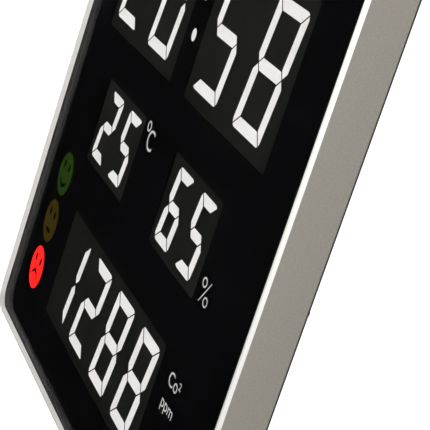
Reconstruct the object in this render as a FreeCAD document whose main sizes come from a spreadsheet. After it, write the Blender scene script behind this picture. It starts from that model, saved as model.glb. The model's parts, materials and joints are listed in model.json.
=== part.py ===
"""Air quality monitor for a wall, as a parametric document.

A shallow aluminium ring carries a printed front glass. Behind the glass stand digit modules and three
face lights on one board, with a control board, a sensor board and a sheet cover with keyholes at the back.

The origin is midway between the round entries of the two keyholes, on the outside face of the cover.
X runs to the reader's right, Z up, and the reader stands on the -Y side. Every piece is drawn about the
middle of the frame, and its Placement lowers it by hang_drop. "Forward" is the distance from the cover's
outside face towards the reader, "side" is along X and "up" along Z from the middle of the frame.
"""
import FreeCAD, Part
import math
import os
import re
import Sketcher
from FreeCAD import Placement, Rotation, Vector

doc = FreeCAD.newDocument("AirQualityMonitor")

# ---------------------------------------------------------------- driving sizes, in millimetres

SIZES = [
    # frame ring
    ("width", 398, "outside width of the frame"),
    ("height", 350, "outside height of the frame"),
    ("depth", 26, "cover's outside face to the front of the lip"),
    ("corner_radius", 16, "outside corners of the frame"),
    ("wall", 2.9, "thickness of the frame's wall"),
    ("lip_chamfer", 1.7, "bright bevel round the front of the lip"),
    ("back_chamfer", 0.6, "bevel round the back of the frame"),
    ("ledge_width", 5.5, "shelf that carries the glass"),
    ("ledge_thick", 1.5, "thickness of that shelf"),
    ("hang_drop", 105, "middle of the frame below the keyhole entries"),
    # glass and what lies on it
    ("lip_proud", 3.2, "lip stands this far in front of the glass"),
    ("glass_thick", 2.0, "front glass"),
    ("glass_gap", 0.15, "play between glass and frame, each side"),
    ("film_thick", 0.2, "printed mask film on the back of the glass"),
    ("tape_thick", 0.5, "foam tape between film and shelf"),
    ("tape_width", 4.5, "width of that tape"),
    # windows in the mask film
    ("layout_shift", -3.4, "centre line of the windows, from the frame's middle"),
    ("window_radius", 2.2, "corners of the windows"),
    ("time_window_width", 133.9, "hours window and minutes window"),
    ("time_window_height", 89.9, "hours window and minutes window"),
    ("time_window_up", 92.4, "centre of those windows"),
    ("time_window_gap", 27.3, "hours window to minutes window"),
    ("small_window_width", 83.4, "temperature window and humidity window"),
    ("small_window_height", 54.5, "temperature window and humidity window"),
    ("small_window_up", -7.3, "centre of those windows"),
    ("small_window_gap", 61.6, "temperature window to humidity window"),
    ("gas_window_width", 205.6, "carbon dioxide window"),
    ("gas_window_height", 71.2, "carbon dioxide window"),
    ("gas_window_up", -102.4, "centre of that window"),
    ("face_radius", 14.7, "face lights"),
    ("face_gap", 4.65, "face light to face light"),
    ("face_side", 146.1, "centre of the face lights, left of the centre line"),
    ("face_up", -91.4, "centre of the middle face light"),
    ("colon_radius", 3.9, "dots between hours and minutes"),
    ("colon_rise", 12.1, "each dot above or below the windows' centre"),
    # seven-segment digits
    ("time_digit_height", 73.6, "hours and minutes digits"),
    ("time_digit_width", 41.6, "hours and minutes digits"),
    ("time_digit_pitch", 68.6, "digit to digit"),
    ("time_digit_bar", 7.0, "thickness of the level segments"),
    ("time_digit_stroke", 7.5, "thickness of the upright segments"),
    ("time_digit_slant", 0.132, "lean to the right per unit of height"),
    ("small_digit_height", 45.5, "temperature and humidity digits"),
    ("small_digit_width", 26.2, "temperature and humidity digits"),
    ("small_digit_pitch", 40.5, "digit to digit"),
    ("small_digit_bar", 6.15, "thickness of the level segments"),
    ("small_digit_stroke", 6.85, "thickness of the upright segments"),
    ("small_digit_slant", 0.157, "lean to the right per unit of height"),
    ("gas_digit_height", 59.3, "carbon dioxide digits"),
    ("gas_digit_width", 33.8, "carbon dioxide digits"),
    ("gas_digit_pitch", 50.5, "digit to digit"),
    ("gas_digit_bar", 7.05, "thickness of the level segments"),
    ("gas_digit_stroke", 7.5, "thickness of the upright segments"),
    ("gas_digit_slant", 0.163, "lean to the right per unit of height"),
    ("segment_gap", 0.9, "dark line between two segments"),
    ("segment_depth", 3.0, "light-guiding filling of a segment"),
    ("digit_corner", 4.2, "outer corners of a digit"),
    # modules on the display board
    ("module_depth", 10, "digit module, face to board"),
    ("module_margin", 1.6, "module's face hidden behind the film, each side"),
    ("module_gap", 0.1, "film to module's face"),
    ("light_box_wall", 2.8, "wall round a face light"),
    ("guide_thick", 2.0, "face light's disc"),
    ("guide_gap", 0.15, "play round a face light's disc"),
    ("guide_seat", 1.6, "rim that a face light's disc rests on"),
    ("colon_wall", 2.5, "wall round a colon dot"),
    ("face_chip_size", 5, "chip light under a face light"),
    ("face_chip_thick", 1.6, "chip light under a face light"),
    ("board_thick", 1.6, "every circuit board"),
    ("board_margin", 4, "display board outside its modules"),
    ("board_corner", 2, "corners of the boards"),
    ("screw_margin", 4.5, "board screws from a board's edge"),
    # rear cover
    ("cover_thick", 1.0, "steel sheet"),
    ("cover_inset", 0.8, "cover's edge inside the frame's edge"),
    ("keyhole_side", 100, "keyholes from the middle"),
    ("keyhole_radius", 5.0, "round entry for a screw head"),
    ("keyhole_slot", 2.25, "half width of the slot for the screw's shank"),
    ("keyhole_rise", 9, "slot's end above the entry"),
    ("bumper_radius", 6, "rubber wall bumpers"),
    ("bumper_thick", 2.0, "rubber wall bumpers"),
    ("bumper_inset", 30, "bumpers from the frame's edges"),
    # screws, bosses and standoffs
    ("boss_radius", 4.5, "screw bosses in the frame"),
    ("boss_side", 65, "top and bottom bosses from the middle"),
    ("boss_bite", 0.5, "corner bosses sunk into the wall"),
    ("thread_spare", 1, "thread past the end of a cover screw"),
    ("screw_radius", 1.45, "shanks of the screws"),
    ("thread_gap", 0.05, "shank to threaded hole"),
    ("pass_gap", 0.25, "shank to clearance hole"),
    ("screw_head_radius", 2.8, "heads of the screws"),
    ("screw_head_thick", 1.2, "heads of the screws"),
    ("drive_length", 2.6, "cross recess in a cover screw"),
    ("drive_width", 0.7, "cross recess in a cover screw"),
    ("drive_depth", 0.8, "cross recess in a cover screw"),
    ("cover_screw_length", 7, "cover screws"),
    ("board_screw_length", 5, "board screws"),
    ("standoff_radius", 3.0, "standoffs riveted to the cover"),
    # control board and what it carries
    ("rear_board_forward", 5.6, "back face of the control and sensor boards"),
    ("control_width", 66, "control board"),
    ("control_height", 106, "control board"),
    ("control_inset_side", 20, "control board from the frame's right edge"),
    ("control_inset_up", 8, "control board from the frame's bottom edge"),
    ("key_radius", 3.3, "set keys"),
    ("key_proud", 0.8, "set keys behind the cover"),
    ("key_travel", 0.8, "set keys"),
    ("key_gap", 0.2, "key to its hole"),
    ("key_flange", 1.0, "flange that keeps a key in"),
    ("key_seat", 0.05, "flange to the cover"),
    ("key_pitch", 14, "key to key"),
    ("key_drop", 20, "row of keys below the control board's top"),
    ("switch_size", 6.0, "key switches"),
    ("switch_thick", 2.4, "key switches"),
    ("stem_radius", 1.6, "stem of a key"),
    ("stem_dip", 0.2, "stem's end inside the switch"),
    ("door_radius", 12.4, "clock battery door"),
    ("door_gap", 0.08, "running fit of the door in the cover"),
    ("door_rise", 44, "door's centre above the control board's bottom"),
    ("door_lug", 1.6, "the door's two lugs, past its rim"),
    ("door_lug_thick", 0.4, "the door's lugs"),
    ("door_lug_width", 7, "the door's lugs"),
    ("door_seat", 0.1, "lugs to the cover"),
    ("door_slot_length", 14, "slot for a coin"),
    ("door_slot_width", 1.8, "slot for a coin"),
    ("door_slot_depth", 0.6, "slot for a coin"),
    ("cell_radius", 10, "coin cell"),
    ("cell_thick", 3.2, "coin cell"),
    ("cell_gap", 0.1, "coin cell to its holder"),
    ("cell_proud", 0.8, "coin cell out of its holder"),
    ("holder_wall", 1.3, "coin cell's holder"),
    ("holder_base", 0.9, "coin cell's holder"),
    ("inlet_side", 46, "power inlet from the control board's left edge"),
    ("inlet_width", 9, "power inlet's block"),
    ("inlet_high", 9.6, "power inlet's block, off the board"),
    ("inlet_long", 13.5, "power inlet's block"),
    ("inlet_bore", 3.15, "mouth of the power inlet"),
    ("inlet_floor", 3, "closed end of the inlet's block"),
    ("inlet_pin", 1.0, "pin in the inlet's mouth"),
    ("inlet_pin_dip", 1.0, "pin's tip inside the mouth"),
    ("inlet_collar", 4.2, "collar of the power inlet"),
    ("inlet_collar_gap", 0.2, "collar to its hole"),
    ("inlet_recess", 0.6, "collar's mouth inside the frame's outside face"),
    ("edge_gap", 0.2, "blocks on the control board to the frame's bottom wall"),
    ("slider_side", 22, "power switch from the control board's left edge"),
    ("slider_width", 3.6, "knob of the power switch"),
    ("slider_thick", 2.6, "knob of the power switch"),
    ("slider_travel", 4.0, "knob of the power switch"),
    ("slider_proud", 1.2, "knob below the frame"),
    ("slider_reach", 1.5, "knob into the switch's case"),
    ("slider_gap", 0.3, "knob to its slot"),
    ("slider_case_tall", 5, "power switch's case, off the board"),
    ("slider_case_high", 6.0, "power switch's case"),
    ("slider_case_wall", 1.5, "power switch's case"),
    ("slider_round", 0.5, "edges of the knob"),
    # chips and cans
    ("processor_size", 12, "microcontroller"),
    ("processor_thick", 1.4, "microcontroller"),
    ("chip_width", 8, "small chips on the control board"),
    ("chip_thick", 1.6, "small chips, driver chips"),
    ("chip_high", 5, "small chips, driver chips"),
    ("choke_size", 8, "choke of the power supply"),
    ("choke_thick", 4, "choke of the power supply"),
    ("capacitor_radius", 4, "capacitors"),
    ("capacitor_tall", 9, "capacitors"),
    ("buzzer_radius", 6, "buzzer"),
    ("buzzer_tall", 8, "buzzer"),
    ("driver_width", 10, "driver chips on the display board"),
    # flat cables
    ("cable_thick", 0.7, "flat cables"),
    ("display_cable_width", 18, "cable between display board and control board"),
    ("sensor_cable_width", 7, "cable between sensor board and control board"),
    ("socket_tall", 2.2, "cable sockets"),
    ("socket_width", 4, "cable sockets"),
    ("socket_extra", 1, "socket past its cable, each side"),
    ("socket_inset", 5, "cable sockets from a board's edge"),
    # sensor board
    ("sensor_width", 26, "sensor board"),
    ("sensor_height", 104, "sensor board"),
    ("sensor_up", 60, "centre of the sensor board"),
    ("gas_case_width", 20, "infrared gas sensor"),
    ("gas_case_thick", 6.5, "infrared gas sensor"),
    ("gas_case_high", 33, "infrared gas sensor"),
    ("gas_port_radius", 7, "round port of the gas sensor"),
    ("gas_port_tall", 1.5, "round port of the gas sensor"),
    ("air_case_width", 12, "temperature and humidity sensor"),
    ("air_case_thick", 2.4, "temperature and humidity sensor"),
    ("air_case_high", 15, "temperature and humidity sensor"),
    ("air_slot_width", 8, "slots in that sensor's case"),
    ("air_slot_deep", 0.8, "slots in that sensor's case"),
    ("air_slot_high", 1.2, "slots in that sensor's case"),
    ("vent_width", 22, "vent slots"),
    ("vent_high", 2.4, "vent slots"),
    ("vent_pitch", 5.2, "vent slot to vent slot"),
    ("dust_thick", 1.0, "dust filter"),
    ("dust_margin", 2, "dust filter past the vents"),
]
VENT_COUNT = 16
END_FLAT = 0.02  # straight left at the end of a round-ended slot, so that its two arcs stay apart
TINY = 1e-4      # two lengths closer than this are the same

sheet = doc.addObject("Spreadsheet::Sheet", "Sizes")
for row, (alias, value, meaning) in enumerate(SIZES, start=1):
    sheet.set(f"A{row}", alias)
    sheet.set(f"B{row}", str(value))
    sheet.setAlias(f"B{row}", alias)
    sheet.set(f"C{row}", meaning)
doc.recompute()

ALIASES = {alias for alias, _, _ in SIZES}
WORD = re.compile(r"[a-z_]+")


def formula(text):
    """A formula over bare size names, as the expression engine reads it."""
    return WORD.sub(lambda word: "Sizes." + word[0] if word[0] in ALIASES else word[0], str(text))


def amount(text):
    """The present value of a formula."""
    return float(sheet.evalExpression(formula(text)))


def bind(thing, prop, text):
    """Tie one property to a formula over the sizes."""
    thing.setExpression(prop, formula(text))


# ---------------------------------------------------------------- places that follow from the sizes

GLASS_FRONT = "(depth - lip_proud)"
FILM_FRONT = f"({GLASS_FRONT} - glass_thick)"
FILM_BACK = f"({FILM_FRONT} - film_thick)"
LEDGE_FRONT = f"({FILM_BACK} - tape_thick)"
LEDGE_BACK = f"({LEDGE_FRONT} - ledge_thick)"
MODULE_FACE = f"({FILM_BACK} - module_gap)"
BOARD_FRONT = f"({MODULE_FACE} - module_depth)"
BOARD_BACK = f"({BOARD_FRONT} - board_thick)"
REAR_BOARD_FRONT = "(rear_board_forward + board_thick)"

INNER_WIDTH = "(width - 2 * wall)"
INNER_HEIGHT = "(height - 2 * wall)"
INNER_RADIUS = "(corner_radius - wall)"

TIME_SPREAD = "((time_window_width + time_window_gap) / 2)"
SMALL_SPREAD = "((small_window_width + small_window_gap) / 2)"
FACE_PITCH = "(2 * face_radius + face_gap)"
HOURS_SIDE = f"(layout_shift - {TIME_SPREAD})"
MINUTES_SIDE = f"(layout_shift + {TIME_SPREAD})"
WARMTH_SIDE = f"(layout_shift - {SMALL_SPREAD})"
DAMP_SIDE = f"(layout_shift + {SMALL_SPREAD})"
FACE_SIDE = "(layout_shift - face_side)"
LIGHT_BOX_WIDTH = "(2 * face_radius + 2 * light_box_wall)"
LIGHT_BOX_HEIGHT = f"(2 * {FACE_PITCH} + {LIGHT_BOX_WIDTH})"

HOURS_LEFT = f"({HOURS_SIDE} - time_window_width / 2 - module_margin)"
BOARD_LEFT = f"(min({FACE_SIDE} - {LIGHT_BOX_WIDTH} / 2; {HOURS_LEFT}) - board_margin)"
BOARD_RIGHT = f"({MINUTES_SIDE} + time_window_width / 2 + module_margin + board_margin)"
BOARD_TOP = "(time_window_up + time_window_height / 2 + module_margin + board_margin)"
BOARD_BOTTOM = f"(face_up - {LIGHT_BOX_HEIGHT} / 2 - board_margin)"
NOTCH_LEFT = "(layout_shift + gas_window_width / 2 + module_margin + board_margin)"
NOTCH_TOP = "(small_window_up - small_window_height / 2 - module_margin - board_margin)"

CONTROL_RIGHT = "(width / 2 - control_inset_side)"
CONTROL_LEFT = f"({CONTROL_RIGHT} - control_width)"
CONTROL_BOTTOM = "(-height / 2 + control_inset_up)"
CONTROL_TOP = f"({CONTROL_BOTTOM} + control_height)"
KEY_UP = f"({CONTROL_TOP} - key_drop)"
KEY_SIDES = [f"({CONTROL_LEFT} + control_width / 2 + {step} * key_pitch)" for step in (-1.5, -0.5, 0.5, 1.5)]
DOOR_SIDE = f"({CONTROL_LEFT} + control_width / 2)"
DOOR_UP = f"({CONTROL_BOTTOM} + door_rise)"
INLET_SIDE = f"({CONTROL_LEFT} + inlet_side)"
INLET_FORWARD = f"({REAR_BOARD_FRONT} + inlet_high / 2)"
FLOOR_INSIDE = "(-height / 2 + wall)"
SLIDER_SIDE = f"({CONTROL_LEFT} + slider_side)"
SLIDER_MIDDLE = f"({SLIDER_SIDE} + slider_travel / 2)"
SLIDER_FORWARD = f"({REAR_BOARD_FRONT} + slider_case_tall / 2)"
SLOT_WIDTH = "(slider_width + slider_travel + 2 * slider_gap)"
SLOT_DEPTH = "(slider_thick + 2 * slider_gap)"
CABLE_UP = f"((max({BOARD_BOTTOM}; {CONTROL_BOTTOM}) + min({NOTCH_TOP}; {CONTROL_TOP})) / 2)"
SENSOR_SIDE = f"(({BOARD_RIGHT} + width / 2 - wall - ledge_width) / 2)"

MID_BAND = "((time_window_up - time_window_height / 2 + small_window_up + small_window_height / 2) / 2)"
LOW_BAND = "((small_window_up - small_window_height / 2 + gas_window_up + gas_window_height / 2) / 2)"
LEFT_STRIP = f"(({BOARD_LEFT} + {HOURS_LEFT}) / 2)"
GAS_STRIP = (f"(({FACE_SIDE} + {LIGHT_BOX_WIDTH} / 2 + layout_shift - gas_window_width / 2"
             " - module_margin) / 2)")
BOSS_SIDE = "(width / 2 - wall - boss_radius / 2)"
BOSS_UP = "(height / 2 - wall - boss_radius / 2)"
CORNER_SIDE = "(width / 2 - wall - boss_radius + boss_bite)"
CORNER_UP = "(height / 2 - wall - boss_radius + boss_bite)"
COVER_SCREWS = [(f"{x} * {CORNER_SIDE}", f"{z} * {CORNER_UP}") for x in (-1, 1) for z in (-1, 1)]
COVER_SCREWS += [(f"{x} * boss_side", f"{z} * {BOSS_UP}") for x in (-1, 1) for z in (-1, 1)]
COVER_SCREWS += [(f"{x} * {BOSS_SIDE}", "0") for x in (-1, 1)]
DISPLAY_SCREWS = [
    (LEFT_STRIP, "(time_window_up + time_window_height / 3)"),
    (LEFT_STRIP, MID_BAND),
    ("layout_shift", "(time_window_up + time_window_height / 2 - screw_margin)"),
    ("layout_shift", MID_BAND),
    (f"({BOARD_RIGHT} - 2 * screw_margin)", MID_BAND),
    ("layout_shift", LOW_BAND),
    (f"({NOTCH_LEFT} - 2 * screw_margin)", LOW_BAND),
    (GAS_STRIP, "(gas_window_up - gas_window_height / 2 + 2 * screw_margin)"),
]
CONTROL_SCREWS = [(side, up)
                  for side in (f"({CONTROL_LEFT} + screw_margin)", f"({CONTROL_RIGHT} - screw_margin)")
                  for up in (f"({CONTROL_TOP} - screw_margin)", f"({CONTROL_BOTTOM} + 2 * screw_margin)")]
SENSOR_SCREWS = [(SENSOR_SIDE, f"(sensor_up + {step} * (sensor_height / 2 - screw_margin))")
                 for step in (-1, 1)]

pieces = []


def keep(thing, label):
    """Make an object a sub-part: its name, and its place below the keyholes."""
    thing.Label = label
    bind(thing, "Placement.Base.z", "-hang_drop")
    pieces.append(thing)
    return thing


# ---------------------------------------------------------------- PartDesign helpers

def new_body(label):
    return keep(doc.addObject("PartDesign::Body", label), label)


def sketch_on(body, role, name, offset):
    """A sketch on one of the body's own planes, moved along the plane's normal."""
    sketch = body.newObject("Sketcher::SketchObject", name)
    plane = next(feature for feature in body.Origin.OriginFeatures if feature.Role == role)
    sketch.AttachmentSupport = (plane, [""])
    sketch.MapMode = "FlatFace"
    bind(sketch, "AttachmentOffset.Base.z", offset)
    return sketch


def front_sketch(body, name, forward):
    """A sketch seen from the front, at a distance forward of the cover's outside face."""
    return sketch_on(body, "XZ_Plane", name, forward)


def floor_sketch(body, name):
    """A sketch on the inside of the frame's bottom wall; its second axis runs backward."""
    return sketch_on(body, "XY_Plane", name, FLOOR_INSIDE)


def constrain(sketch, text, kind, *where):
    """A size constraint tied to a formula."""
    index = sketch.addConstraint(Sketcher.Constraint(kind, *where, amount(text)))
    sketch.setExpression(f"Constraints[{index}]", formula(text))


def draw_plate(sketch, wide, high, radius, side="0", up="0"):
    """A rectangle with round corners, drawn anticlockwise from its bottom edge."""
    half_w, half_h, r = amount(wide) / 2, amount(high) / 2, amount(radius)
    x, z = amount(side), amount(up)
    first = sketch.GeometryCount
    corners = [(half_w - r, r - half_h, -90), (half_w - r, half_h - r, 0),
               (r - half_w, half_h - r, 90), (r - half_w, r - half_h, 180)]
    for number, (cx, cz, start) in enumerate(corners):
        before = corners[number - 1]
        begin, end = math.radians(start), math.radians(start + 90)
        centre = Vector(x + cx, z + cz, 0)
        lead = Vector(x + before[0] + r * math.cos(begin), z + before[1] + r * math.sin(begin), 0)
        meet = centre + Vector(r * math.cos(begin), r * math.sin(begin), 0)
        sketch.addGeometry(Part.LineSegment(lead, meet))
        circle = Part.Circle(centre, Vector(0, 0, 1), r)
        sketch.addGeometry(Part.ArcOfCircle(circle, begin, end))
    for step in range(8):
        sketch.addConstraint(Sketcher.Constraint("Tangent", first + step, 2, first + (step + 1) % 8, 1))
    bottom, right, top, left = (first + step for step in (0, 2, 4, 6))
    for line in (bottom, top):
        sketch.addConstraint(Sketcher.Constraint("Horizontal", line))
    for line in (left, right):
        sketch.addConstraint(Sketcher.Constraint("Vertical", line))
    for arc in (3, 5, 7):
        sketch.addConstraint(Sketcher.Constraint("Equal", first + 1, first + arc))
    constrain(sketch, radius, "Radius", first + 1)
    constrain(sketch, wide, "DistanceX", left, 1, right, 1)
    constrain(sketch, high, "DistanceY", bottom, 1, top, 1)
    constrain(sketch, f"{side} + ({wide}) / 2", "DistanceX", -1, 1, right, 1)
    constrain(sketch, f"{up} + ({high}) / 2", "DistanceY", -1, 1, top, 1)


def draw_circle(sketch, radius, side="0", up="0"):
    """A circle at a place tied to formulas."""
    centre = Vector(amount(side), amount(up), 0)
    index = sketch.addGeometry(Part.Circle(centre, Vector(0, 0, 1), amount(radius)))
    constrain(sketch, radius, "Radius", index)
    constrain(sketch, side, "DistanceX", -1, 1, index, 3)
    constrain(sketch, up, "DistanceY", -1, 1, index, 3)


def pad(body, sketch, length):
    """Material forward of a sketch."""
    feature = body.newObject("PartDesign::Pad", sketch.Name + "Pad")
    feature.Profile = sketch
    bind(feature, "Length", length)
    sketch.Visibility = False
    doc.recompute()
    return feature


def pocket(body, sketch, length):
    """A cut backward from a sketch; it must take material away."""
    before = body.Shape.Volume
    feature = body.newObject("PartDesign::Pocket", sketch.Name + "Pocket")
    feature.Profile = sketch
    bind(feature, "Length", length)
    sketch.Visibility = False
    doc.recompute()
    if body.Shape.Volume >= before:
        raise RuntimeError(f"{feature.Name} cuts nothing")
    return feature


def outline_edges(shape, forward):
    """Names of the edges round the frame's outline, in one plane across Y."""
    half_w, half_h = amount("width / 2") - TINY, amount("height / 2") - TINY
    names = []
    for number, edge in enumerate(shape.Edges, start=1):
        box = edge.BoundBox
        flat = abs(box.YMin + forward) < TINY and abs(box.YMax + forward) < TINY
        reach_w, reach_h = max(-box.XMin, box.XMax), max(-box.ZMin, box.ZMax)
        if flat and (reach_w > half_w or reach_h > half_h):
            names.append(f"Edge{number}")
    return names


# ---------------------------------------------------------------- Part helpers

def block(name, wide, thick, high, side, forward, up):
    """A box; thick runs forward from the place given, the rest is centred on it."""
    box = doc.addObject("Part::Box", name)
    bind(box, "Length", wide)
    bind(box, "Width", thick)
    bind(box, "Height", high)
    bind(box, "Placement.Base.x", f"{side} - ({wide}) / 2")
    bind(box, "Placement.Base.y", f"-({forward}) - ({thick})")
    bind(box, "Placement.Base.z", f"{up} - ({high}) / 2")
    return box


def rod(name, radius, length, side, forward, up, upright=False):
    """A cylinder that runs forward from the place given, or upward where it is upright."""
    cylinder = doc.addObject("Part::Cylinder", name)
    bind(cylinder, "Radius", radius)
    bind(cylinder, "Height", length)
    if not upright:
        cylinder.Placement = Placement(Vector(), Rotation(Vector(1, 0, 0), 90))
    bind(cylinder, "Placement.Base.x", side)
    bind(cylinder, "Placement.Base.y", f"-({forward})")
    bind(cylinder, "Placement.Base.z", up)
    return cylinder


def join(name, shapes):
    fused = doc.addObject("Part::MultiFuse", name)
    fused.Shapes = shapes
    return fused


def group(name, shapes):
    compound = doc.addObject("Part::Compound", name)
    compound.Links = shapes
    return compound


def cut(name, base, tools):
    """One piece less others."""
    difference = doc.addObject("Part::Cut", name)
    difference.Base = base
    difference.Tool = tools[0] if len(tools) == 1 else group(name + "Tools", tools)
    return difference


# ---------------------------------------------------------------- frame, glass, film and tape

def make_frame():
    """Ring with a front lip, a shelf for the glass, screw bosses, and holes for inlet and switch."""
    body = new_body("frame")
    outline = front_sketch(body, "FrameOutline", "cover_thick")
    draw_plate(outline, "width", "height", "corner_radius")
    pad(body, outline, "depth - cover_thick")

    rebate = front_sketch(body, "GlassRebate", "depth")
    draw_plate(rebate, INNER_WIDTH, INNER_HEIGHT, INNER_RADIUS)
    pocket(body, rebate, f"depth - {LEDGE_FRONT}")

    opening = front_sketch(body, "ShelfOpening", LEDGE_FRONT)
    draw_plate(opening, f"({INNER_WIDTH} - 2 * ledge_width)", f"({INNER_HEIGHT} - 2 * ledge_width)",
               f"({INNER_RADIUS} - ledge_width)")
    pocket(body, opening, "ledge_thick")

    cavity = front_sketch(body, "RearCavity", LEDGE_BACK)
    draw_plate(cavity, INNER_WIDTH, INNER_HEIGHT, INNER_RADIUS)
    pocket(body, cavity, f"{LEDGE_BACK} - cover_thick")

    bosses = front_sketch(body, "ScrewBosses", "cover_thick")
    for side, up in COVER_SCREWS:
        draw_circle(bosses, "boss_radius", side, up)
    pad(body, bosses, f"{LEDGE_FRONT} - cover_thick")

    threads = front_sketch(body, "ScrewThreads", "cover_thick + cover_screw_length + thread_spare")
    for side, up in COVER_SCREWS:
        draw_circle(threads, "screw_radius + thread_gap", side, up)
    pocket(body, threads, "cover_screw_length + thread_spare")

    for name, forward, bevel in (("FrontBevel", "depth", "lip_chamfer"),
                                 ("BackBevel", "cover_thick", "back_chamfer")):
        base = body.Tip
        chamfer = body.newObject("PartDesign::Chamfer", name)
        chamfer.Base = (base, outline_edges(base.Shape, amount(forward)))
        bind(chamfer, "Size", bevel)
        doc.recompute()

    inlet = floor_sketch(body, "InletHole")
    draw_circle(inlet, "inlet_collar + inlet_collar_gap", INLET_SIDE, f"-{INLET_FORWARD}")
    pocket(body, inlet, "wall")
    slot = floor_sketch(body, "SliderSlot")
    draw_plate(slot, SLOT_WIDTH, SLOT_DEPTH, "slider_gap", SLIDER_MIDDLE, f"-{SLIDER_FORWARD}")
    pocket(body, slot, "wall")


def make_plain_plate(label, forward, thick, wide, high, radius):
    """A flat piece with round corners."""
    body = new_body(label)
    sketch = front_sketch(body, label.title().replace("_", "") + "Outline", forward)
    draw_plate(sketch, wide, high, radius)
    pad(body, sketch, thick)
    return body


def make_film():
    """Printed film: black, with five windows, three round face windows and two dots left clear."""
    body = make_plain_plate("mask_film", FILM_BACK, "film_thick", f"({INNER_WIDTH} - 2 * glass_gap)",
                            f"({INNER_HEIGHT} - 2 * glass_gap)", f"({INNER_RADIUS} - glass_gap)")
    windows = front_sketch(body, "FilmWindows", FILM_FRONT)
    for side in (HOURS_SIDE, MINUTES_SIDE):
        draw_plate(windows, "time_window_width", "time_window_height", "window_radius", side,
                   "time_window_up")
    for side in (WARMTH_SIDE, DAMP_SIDE):
        draw_plate(windows, "small_window_width", "small_window_height", "window_radius", side,
                   "small_window_up")
    draw_plate(windows, "gas_window_width", "gas_window_height", "window_radius", "layout_shift",
               "gas_window_up")
    for step in (-1, 0, 1):
        draw_circle(windows, "face_radius", FACE_SIDE, f"face_up + {step} * {FACE_PITCH}")
    for step in (-1, 1):
        draw_circle(windows, "colon_radius", "layout_shift", f"time_window_up + {step} * colon_rise")
    pocket(body, windows, "film_thick")
    return body


def make_tape():
    """Foam tape that sticks the film to the frame's shelf."""
    wide, high = f"({INNER_WIDTH} - 2 * glass_gap)", f"({INNER_HEIGHT} - 2 * glass_gap)"
    body = make_plain_plate("glass_tape", LEDGE_FRONT, "tape_thick", wide, high,
                            f"({INNER_RADIUS} - glass_gap)")
    inside = front_sketch(body, "TapeInside", FILM_BACK)
    draw_plate(inside, f"({wide} - 2 * tape_width)", f"({high} - 2 * tape_width)",
               f"({INNER_RADIUS} - glass_gap - tape_width)")
    pocket(body, inside, "tape_thick")
    return body


# ---------------------------------------------------------------- digits and their modules

def prism(points, forward, depth):
    """A flat outline in side and up, pulled back from the place given."""
    corners = [Vector(x, -forward, z) for x, z in points]
    return Part.Face(Part.makePolygon(corners + corners[:1])).extrude(Vector(0, depth, 0))


def segment_outlines(high, wide, bar, stroke, gap):
    """The seven segments of an upright digit about its centre: a, b, c, d, e, f and g."""
    top, right = high / 2, wide / 2
    mitre = gap * math.hypot(bar, stroke) / 2
    over, down = mitre / bar, mitre / stroke
    tip = gap / math.sqrt(2)
    level = [(over - right, top), (right - over, top),
             (right - stroke - over, top - bar), (stroke + over - right, top - bar)]
    upright = [(right, top - down), (right, tip + stroke / 2), (right - stroke / 2, tip),
               (right - stroke, tip + stroke / 2), (right - stroke, top - bar - down)]
    reach = right - stroke / 2 - tip
    middle = [(-reach, 0), (bar / 2 - reach, bar / 2), (reach - bar / 2, bar / 2),
              (reach, 0), (reach - bar / 2, -bar / 2), (bar / 2 - reach, -bar / 2)]

    def turned(points, across, along):
        return [(across * x, along * z) for x, z in points]

    return [level, upright, turned(upright, 1, -1), turned(level, 1, -1),
            turned(upright, -1, -1), turned(upright, -1, 1), middle]


def digit_solids(style, side, up):
    """The seven light-guiding fillings of one digit, leaning to the right."""
    high, wide, bar, stroke, slant = (amount(f"{style}_digit_{part}")
                                      for part in ("height", "width", "bar", "stroke", "slant"))
    forward, depth = amount(MODULE_FACE), amount("segment_depth")

    def lean(points):
        return [(side + x + slant * z, up + z) for x, z in points]

    corners = [(-wide / 2, -high / 2), (wide / 2, -high / 2), (wide / 2, high / 2), (-wide / 2, high / 2)]
    outline = prism(lean(corners), forward, depth)
    edges = [edge for edge in outline.Edges if edge.BoundBox.YLength > depth / 2]
    outline = outline.makeFillet(min(amount("digit_corner"), wide / 3), edges)
    return [prism(lean(points), forward, depth).common(outline).Solids[0]
            for points in segment_outlines(high, wide, bar, stroke, amount("segment_gap"))]


def make_module(label, style, side, up, wide, high, digits):
    """A digit module's housing, and the digits that fill its cells."""
    count = len(digits)
    fillings = []
    for number, digit in enumerate(digits):
        place = amount(f"{side} + ({number} - ({count} - 1) / 2) * {style}_digit_pitch")
        feature = doc.addObject("Part::Feature", digit)
        feature.Shape = Part.makeCompound(digit_solids(style, place, amount(up)))
        fillings.append(keep(feature, digit))
    cells = doc.addObject("Part::Feature", label + "Cells")
    cells.Shape = Part.makeCompound([solid for filling in fillings for solid in filling.Shape.Solids])
    housing = block(label + "Block", f"{wide} + 2 * module_margin", "module_depth",
                    f"{high} + 2 * module_margin", side, BOARD_FRONT, up)
    return keep(cut(label, housing, [cells]), label)


def make_modules():
    for label, side in (("hours", HOURS_SIDE), ("minutes", MINUTES_SIDE)):
        make_module(label + "_module", "time", side, "time_window_up", "time_window_width",
                    "time_window_height", [label + "_tens_digit", label + "_ones_digit"])
    for label, side in (("temperature", WARMTH_SIDE), ("humidity", DAMP_SIDE)):
        make_module(label + "_module", "small", side, "small_window_up", "small_window_width",
                    "small_window_height", [label + "_tens_digit", label + "_ones_digit"])
    powers = ("thousands", "hundreds", "tens", "ones")
    make_module("gas_module", "gas", "layout_shift", "gas_window_up", "gas_window_width",
                "gas_window_height", [f"gas_{power}_digit" for power in powers])


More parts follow.
